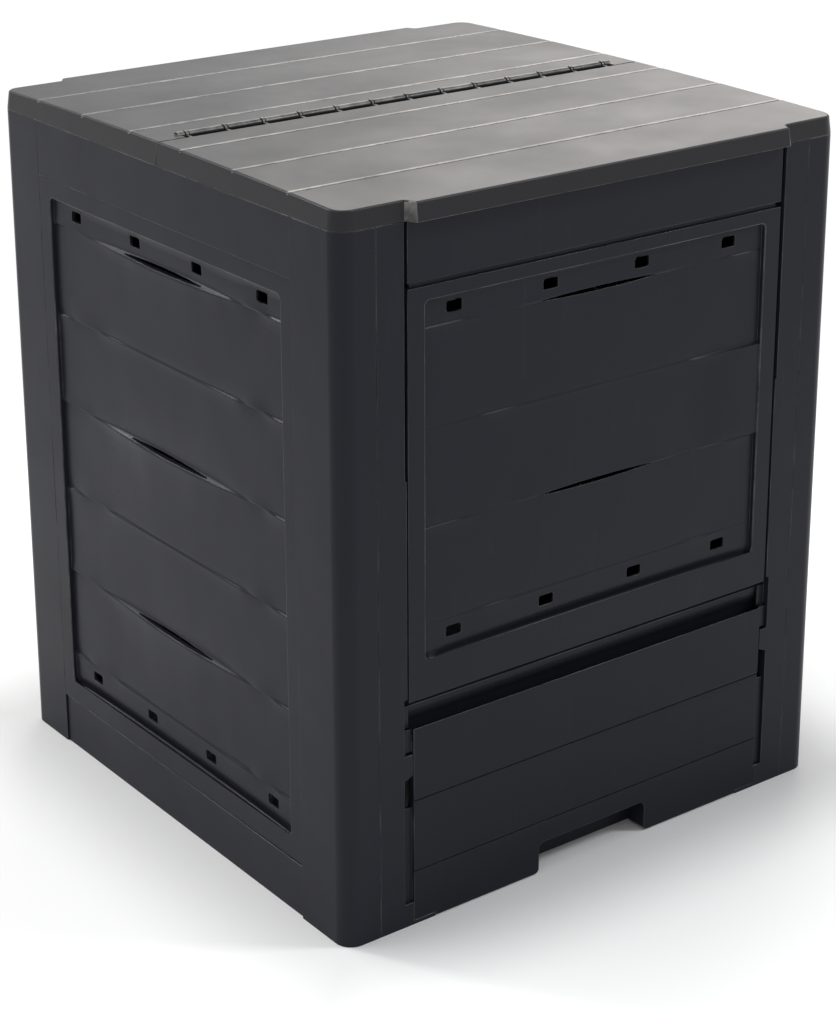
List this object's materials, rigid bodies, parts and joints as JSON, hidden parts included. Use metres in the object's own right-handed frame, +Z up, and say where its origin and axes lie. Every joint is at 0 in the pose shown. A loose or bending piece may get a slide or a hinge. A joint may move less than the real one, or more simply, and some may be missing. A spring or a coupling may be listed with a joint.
{
  "type": "compost bin with lid",
  "caption": "Square garden compost bin of clipped board panels and corner posts, with a hinged lid half and a lift-out harvest door.",
  "frame": {"origin": "on the ground, at the middle of the body's footprint", "axes": "+X to the right and +Y to the back as seen from the front, +Z up; the harvest door faces -Y"},
  "size_m": [0.61, 0.632, 0.7305],
  "materials": {
    "body": "satin black polypropylene with a fine moulded grain",
    "door": "satin black polypropylene with a fine moulded grain",
    "lid": "satin black polypropylene, a little glossier than the walls"
  },
  "bodies": {
    "body": {"corner_post_front_left": "body", "corner_post_front_right": "body", "corner_post_rear_right": "body", "corner_post_rear_left": "body", "upper_rail_front": "body", "upper_rail_left": "body", "upper_rail_right": "body", "upper_rail_rear": "body", "front_panel": "body", "side_panel_left": "body", "side_panel_right": "body", "rear_panel": "body", "lower_rail_left": "body", "lower_rail_right": "body", "lower_rail_rear": "body", "front_stile_left": "body", "front_stile_right": "body", "door_lintel": "body", "lid_rear_half": "lid"},
    "lid_front": {"lid_front_half": "lid"},
    "door": {"harvest_door": "door"}
  },
  "joints": [
    {"name": "lid_hinge", "type": "hinge", "parent": "body", "child": "lid_front", "pos_m": [0, 0.0085, 0.7255], "axis": [-1, 0, 0], "range_deg": [0, 150]},
    {"name": "door_lift", "type": "slide", "parent": "body", "child": "door", "axis": [0, 0, 1], "range_m": [0, 0.0275]}
  ]
}
